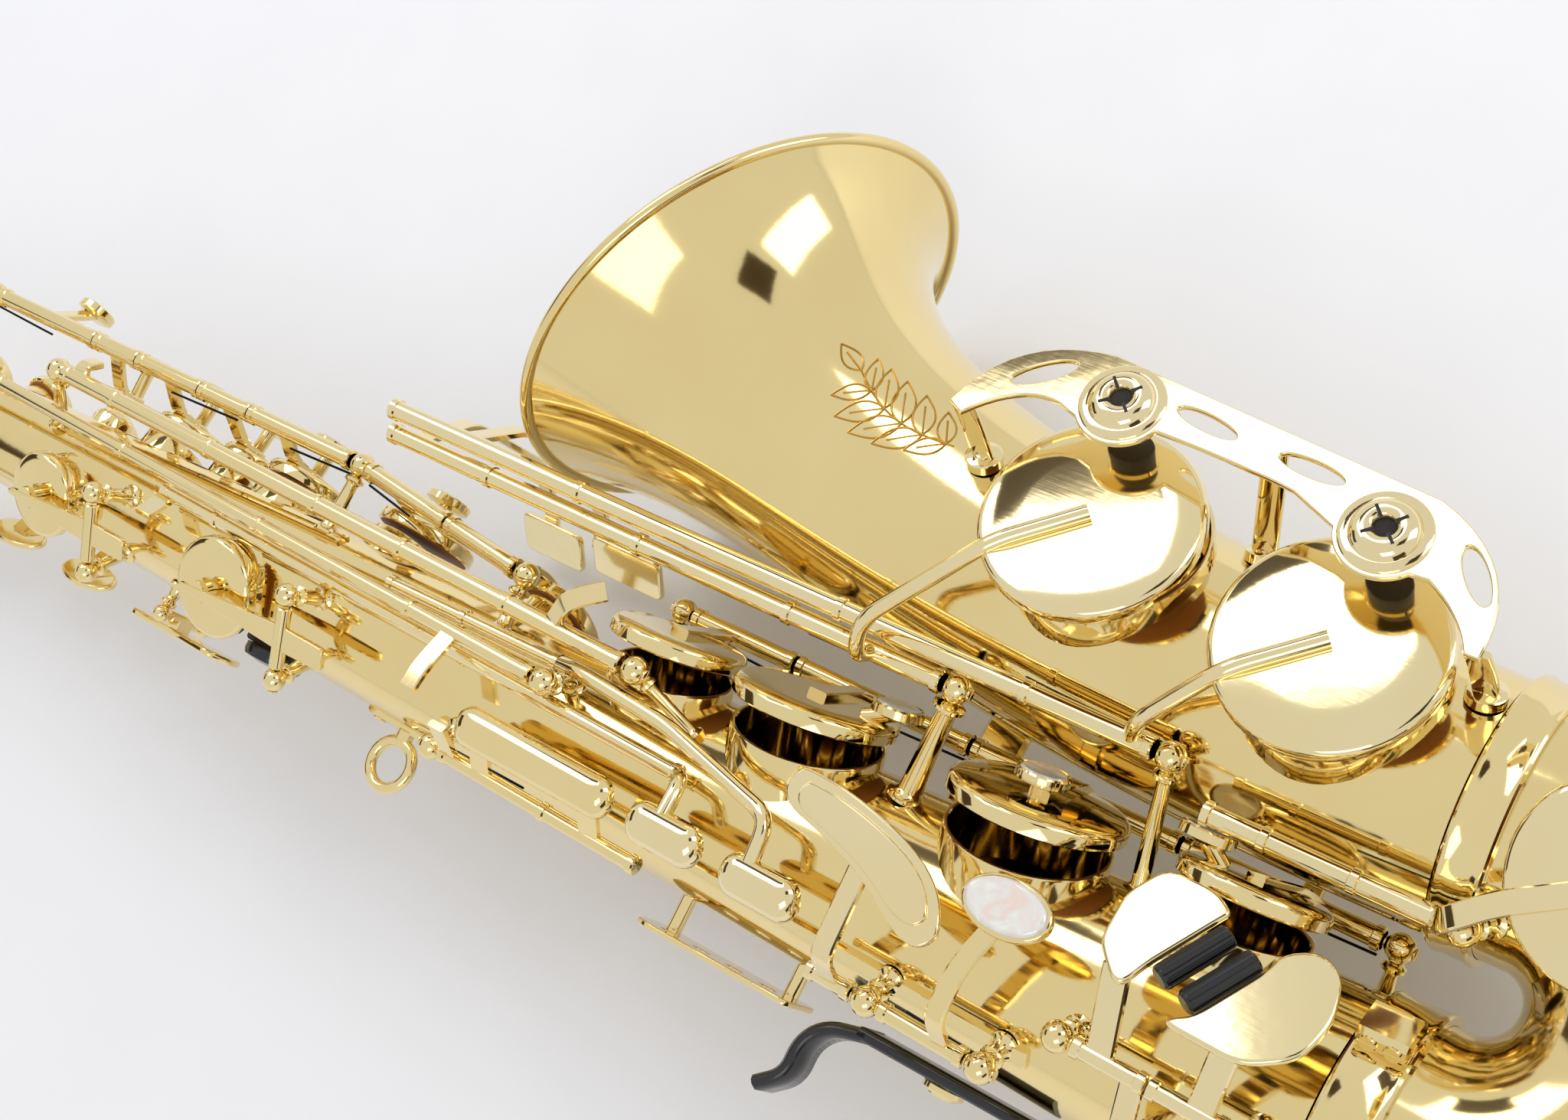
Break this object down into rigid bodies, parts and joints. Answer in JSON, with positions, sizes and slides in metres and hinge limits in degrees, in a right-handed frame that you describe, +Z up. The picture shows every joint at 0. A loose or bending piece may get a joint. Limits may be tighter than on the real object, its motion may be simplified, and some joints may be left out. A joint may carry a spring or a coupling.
{
  "type": "alto saxophone",
  "caption": "Curved brass saxophone lying on its side: conical body with tone holes and sprung keys, bow, flared bell with guards, swivelling neck with cork, mouthpiece, reed and ligature.",
  "frame": {"origin": "centre of the overall box at the height of the surface the instrument lies on", "axes": "+X from the neck receiver along the body towards the bow, +Y from the body towards the bell, +Z up (the player's right side)"},
  "size_m": [0.7198, 0.363, 0.1265],
  "materials": {
    "body": "polished gold lacquer",
    "lacquer": "polished gold lacquer",
    "black": "gloss",
    "ebonite": "polished hard rubber",
    "cork": "matt",
    "cane": "matt"
  },
  "bodies": {
    "instrument": {"body_tube": "body", "bow": "body", "bell": "body", "body_bow_ring": "lacquer", "bell_bow_ring": "lacquer", "neck_receiver": "lacquer", "upper_stack_rib": "lacquer", "link_rod_rib": "lacquer", "back_rib": "lacquer", "lower_stack_rib": "lacquer", "bell_key_guard": "lacquer", "low_c_guard": "lacquer", "low_c_sharp_guard": "lacquer", "table_key_frame": "lacquer", "strap_ring": "lacquer", "thumb_hook": "black", "thumb_rest": "lacquer", "side_guard": "lacquer", "bell_brace": "lacquer"},
    "key_c_vent": {"key_c_vent": "lacquer"},
    "key_b": {"key_b": "lacquer"},
    "key_bis": {"key_bis": "lacquer"},
    "key_a": {"key_a": "lacquer"},
    "key_g": {"key_g": "lacquer"},
    "key_g_sharp": {"key_g_sharp": "lacquer"},
    "front_f_lever": {"front_f_lever": "lacquer"},
    "key_f_sharp": {"key_f_sharp": "lacquer"},
    "key_f": {"key_f": "lacquer"},
    "key_e": {"key_e": "lacquer"},
    "key_d": {"key_d": "lacquer"},
    "link_rod": {"link_rod": "lacquer"},
    "side_c_cup": {"side_c_cup": "lacquer"},
    "side_b_flat_cup": {"side_b_flat_cup": "lacquer"},
    "side_e_cup": {"side_e_cup": "lacquer"},
    "side_e_touch": {"side_e_touch": "lacquer"},
    "side_c_touch": {"side_c_touch": "lacquer"},
    "side_b_flat_touch": {"side_b_flat_touch": "lacquer"},
    "high_f_sharp_touch": {"high_f_sharp_touch": "lacquer"},
    "alt_f_sharp": {"alt_f_sharp": "lacquer"},
    "low_e_flat_key": {"low_e_flat_key": "lacquer"},
    "e_flat_roller": {"e_flat_roller": "black"},
    "low_c_touch": {"low_c_touch": "lacquer"},
    "low_c_roller": {"low_c_roller": "black"},
    "low_c_cup": {"low_c_cup": "lacquer"},
    "low_b_key": {"low_b_key": "lacquer"},
    "low_b_flat_key": {"low_b_flat_key": "lacquer"},
    "low_c_sharp_cup": {"low_c_sharp_cup": "lacquer"},
    "low_c_sharp_touch": {"low_c_sharp_touch": "lacquer"},
    "g_sharp_touch": {"g_sharp_touch": "lacquer"},
    "palm_f_key": {"palm_f_key": "lacquer"},
    "palm_e_flat_key": {"palm_e_flat_key": "lacquer"},
    "palm_d_key": {"palm_d_key": "lacquer"},
    "octave_thumb_lever": {"octave_thumb_lever": "lacquer"},
    "neck": {"neck_tube": "body", "neck_cork": "cork", "mouthpiece": "ebonite", "reed": "cane", "ligature": "lacquer"},
    "neck_octave_key": {"neck_octave_key": "lacquer"},
    "neck_screw": {"neck_screw": "lacquer"}
  },
  "joints": [
    {"name": "key_c_vent_pivot", "type": "hinge", "parent": "instrument", "child": "key_c_vent", "pos_m": [-0.13712, 0.05031, 0.06736], "axis": [1, 0, 0], "range_deg": [-9, 0], "stiffness_Nm_per_rad": 0.8},
    {"name": "key_b_pivot", "type": "hinge", "parent": "instrument", "child": "key_b", "pos_m": [-0.11762, 0.05031, 0.06736], "axis": [1, 0, 0], "range_deg": [-10, 0], "stiffness_Nm_per_rad": 0.8},
    {"name": "key_bis_pivot", "type": "hinge", "parent": "instrument", "child": "key_bis", "pos_m": [-0.09012, 0.05031, 0.06736], "axis": [1, 0, 0], "range_deg": [-9, 0], "stiffness_Nm_per_rad": 0.8},
    {"name": "key_a_pivot", "type": "hinge", "parent": "instrument", "child": "key_a", "pos_m": [-0.06912, 0.05031, 0.06736], "axis": [1, 0, 0], "range_deg": [-10, 0], "stiffness_Nm_per_rad": 0.8},
    {"name": "key_g_pivot", "type": "hinge", "parent": "instrument", "child": "key_g", "pos_m": [-0.02072, 0.04985, 0.06761], "axis": [0.9911, -0.1173, 0.0629], "range_deg": [-10, 0], "stiffness_Nm_per_rad": 0.8},
    {"name": "key_g_sharp_pivot", "type": "hinge", "parent": "instrument", "child": "key_g_sharp", "pos_m": [0.01338, 0.04582, 0.06977], "axis": [0.9911, -0.1173, 0.0629], "range_deg": [0, 11]},
    {"name": "front_f_lever_pivot", "type": "hinge", "parent": "instrument", "child": "front_f_lever", "pos_m": [-0.18272, 0.05031, 0.06736], "axis": [1, 0, 0], "range_deg": [-9, 0], "stiffness_Nm_per_rad": 0.8},
    {"name": "key_f_sharp_pivot", "type": "hinge", "parent": "instrument", "child": "key_f_sharp", "pos_m": [0.08028, 0.05398, 0.04859], "axis": [1, 0, 0], "range_deg": [0, 12], "stiffness_Nm_per_rad": 0.8},
    {"name": "key_f_pivot", "type": "hinge", "parent": "instrument", "child": "key_f", "pos_m": [0.11338, 0.05398, 0.04859], "axis": [1, 0, 0], "range_deg": [0, 11], "stiffness_Nm_per_rad": 0.8},
    {"name": "key_e_pivot", "type": "hinge", "parent": "instrument", "child": "key_e", "pos_m": [0.16538, 0.05398, 0.04859], "axis": [1, 0, 0], "range_deg": [0, 11], "stiffness_Nm_per_rad": 0.8},
    {"name": "key_d_pivot", "type": "hinge", "parent": "instrument", "child": "key_d", "pos_m": [0.22138, 0.05398, 0.04859], "axis": [1, 0, 0], "range_deg": [0, 12], "stiffness_Nm_per_rad": 0.8},
    {"name": "link_rod_pivot", "type": "hinge", "parent": "instrument", "child": "link_rod", "pos_m": [-0.12772, 0.03626, 0.07944], "axis": [0.9992, -0.0215, 0.0335], "range_deg": [-3, 0]},
    {"name": "side_c_cup_pivot", "type": "hinge", "parent": "instrument", "child": "side_c_cup", "pos_m": [-0.08862, 0.00661, 0.08253], "axis": [0, -0.8344, -0.5512], "range_deg": [-12, 0]},
    {"name": "side_b_flat_cup_pivot", "type": "hinge", "parent": "instrument", "child": "side_b_flat_cup", "pos_m": [-0.00762, 0.00625, 0.085], "axis": [0, -0.8531, -0.5218], "range_deg": [-12, 0]},
    {"name": "side_e_cup_pivot", "type": "hinge", "parent": "instrument", "child": "side_e_cup", "pos_m": [-0.18972, 0.02677, 0.07475], "axis": [0.9985, -0.0282, 0.0469], "range_deg": [-12, 0]},
    {"name": "side_e_touch_pivot", "type": "hinge", "parent": "instrument", "child": "side_e_touch", "pos_m": [0.05228, -0.00676, 0.07665], "axis": [0.9995, -0.0223, 0.0224], "range_deg": [0, 7], "stiffness_Nm_per_rad": 0.8},
    {"name": "side_c_touch_pivot", "type": "hinge", "parent": "instrument", "child": "side_c_touch", "pos_m": [-0.07362, 0.01941, 0.07649], "axis": [0.9993, -0.0238, 0.0305], "range_deg": [0, 8], "stiffness_Nm_per_rad": 0.8},
    {"name": "side_b_flat_touch_pivot", "type": "hinge", "parent": "instrument", "child": "side_b_flat_touch", "pos_m": [0.01238, 0.02462, 0.0779], "axis": [0.9993, 0.0158, 0.033], "range_deg": [0, 5], "stiffness_Nm_per_rad": 0.8},
    {"name": "high_f_sharp_touch_pivot", "type": "hinge", "parent": "instrument", "child": "high_f_sharp_touch", "pos_m": [0.16838, -0.00935, 0.07926], "axis": [0.9995, -0.0223, 0.0224], "range_deg": [0, 6], "stiffness_Nm_per_rad": 0.8},
    {"name": "alt_f_sharp_pivot", "type": "hinge", "parent": "instrument", "child": "alt_f_sharp", "pos_m": [0.18828, -0.00979, 0.0797], "axis": [0.9995, -0.0223, 0.0224], "range_deg": [0, 7], "stiffness_Nm_per_rad": 0.8},
    {"name": "low_e_flat_key_pivot", "type": "hinge", "parent": "instrument", "child": "low_e_flat_key", "pos_m": [0.23328, 0.00266, 0.09005], "axis": [0.9995, -0.0154, 0.0293], "range_deg": [-8, 0], "stiffness_Nm_per_rad": 0.8},
    {"name": "e_flat_roller_pivot", "type": "hinge", "parent": "low_e_flat_key", "child": "e_flat_roller", "pos_m": [0.24572, 0.02159, 0.0997], "axis": [0.4299, 0.8454, -0.3169], "continuous": true},
    {"name": "low_c_touch_pivot", "type": "hinge", "parent": "instrument", "child": "low_c_touch", "pos_m": [0.25098, 0.00238, 0.09057], "axis": [0.9995, -0.0154, 0.0293], "range_deg": [-6, 0], "stiffness_Nm_per_rad": 0.8},
    {"name": "low_c_roller_pivot", "type": "hinge", "parent": "low_c_touch", "child": "low_c_roller", "pos_m": [0.25272, 0.01934, 0.10054], "axis": [0.4299, 0.8454, -0.3169], "continuous": true},
    {"name": "low_c_cup_pivot", "type": "hinge", "parent": "instrument", "child": "low_c_cup", "pos_m": [0.23328, 0.05774, 0.08399], "axis": [1, 0, 0], "range_deg": [-12, 0]},
    {"name": "low_b_key_pivot", "type": "hinge", "parent": "instrument", "child": "low_b_key", "pos_m": [-0.00772, 0.05982, 0.08314], "axis": [1, 0, 0], "range_deg": [-10, 0], "stiffness_Nm_per_rad": 0.8},
    {"name": "low_b_flat_key_pivot", "type": "hinge", "parent": "instrument", "child": "low_b_flat_key", "pos_m": [-0.00772, 0.06489, 0.08755], "axis": [1, 0, 0], "range_deg": [-11, 0], "stiffness_Nm_per_rad": 0.8},
    {"name": "low_c_sharp_cup_pivot", "type": "hinge", "parent": "instrument", "child": "low_c_sharp_cup", "pos_m": [0.08648, 0.02535, 0.02376], "axis": [0.9995, 0.0102, -0.0304], "range_deg": [-9, 0]},
    {"name": "low_c_sharp_touch_pivot", "type": "hinge", "parent": "instrument", "child": "low_c_sharp_touch", "pos_m": [0.04238, 0.02494, 0.02525], "axis": [0.9995, 0.0102, -0.0313], "range_deg": [-8, 0], "stiffness_Nm_per_rad": 0.8},
    {"name": "g_sharp_touch_pivot", "type": "hinge", "parent": "instrument", "child": "g_sharp_touch", "pos_m": [-0.00172, 0.02449, 0.02664], "axis": [0.9995, 0.0102, -0.0313], "range_deg": [0, 8], "stiffness_Nm_per_rad": 0.8},
    {"name": "palm_f_key_pivot", "type": "hinge", "parent": "instrument", "child": "palm_f_key", "pos_m": [-0.20972, 0.01525, 0.0344], "axis": [0.9994, 0.0007, -0.0347], "range_deg": [-10, 0], "stiffness_Nm_per_rad": 0.8},
    {"name": "palm_e_flat_key_pivot", "type": "hinge", "parent": "instrument", "child": "palm_e_flat_key", "pos_m": [-0.18312, 0.01527, 0.03348], "axis": [0.9994, 0.0007, -0.0347], "range_deg": [-10, 0], "stiffness_Nm_per_rad": 0.8},
    {"name": "palm_d_key_pivot", "type": "hinge", "parent": "instrument", "child": "palm_d_key", "pos_m": [-0.15312, 0.01529, 0.03244], "axis": [0.9994, 0.0007, -0.0347], "range_deg": [-10, 0], "stiffness_Nm_per_rad": 0.8},
    {"name": "octave_thumb_lever_pivot", "type": "hinge", "parent": "instrument", "child": "octave_thumb_lever", "pos_m": [-0.06562, -0.00922, 0.04708], "axis": [0, -0.0776, 0.997], "range_deg": [-5, 0], "stiffness_Nm_per_rad": 0.8},
    {"name": "neck_pivot", "type": "hinge", "parent": "instrument", "child": "neck", "pos_m": [-0.25362, 0.0149, 0.05457], "axis": [1, 0, 0], "range_deg": [-20, 20]},
    {"name": "neck_octave_key_pivot", "type": "hinge", "parent": "neck", "child": "neck_octave_key", "pos_m": [-0.28877, -0.00389, 0.0481], "axis": [0, -0.0776, 0.997], "range_deg": [0, 4]},
    {"name": "neck_screw_pivot", "type": "hinge", "parent": "instrument", "child": "neck_screw", "pos_m": [-0.22862, -0.00363, 0.06577], "axis": [0, 0.0776, -0.997], "continuous": true}
  ],
  "couplings": [
    {"joint": "side_c_cup_pivot", "follows": "side_c_touch_pivot", "ratio": -1.4985},
    {"joint": "side_b_flat_cup_pivot", "follows": "side_b_flat_touch_pivot", "ratio": -2.3976},
    {"joint": "side_e_cup_pivot", "follows": "side_e_touch_pivot", "ratio": -1.7126},
    {"joint": "low_c_cup_pivot", "follows": "low_c_touch_pivot", "ratio": 1.998},
    {"joint": "low_c_sharp_cup_pivot", "follows": "low_c_sharp_touch_pivot", "ratio": 1.1239},
    {"joint": "key_g_sharp_pivot", "follows": "g_sharp_touch_pivot", "ratio": 1.3736},
    {"joint": "neck_octave_key_pivot", "follows": "octave_thumb_lever_pivot", "ratio": -0.7992},
    {"joint": "link_rod_pivot", "follows": "key_f_sharp_pivot", "ratio": -0.2497}
  ]
}
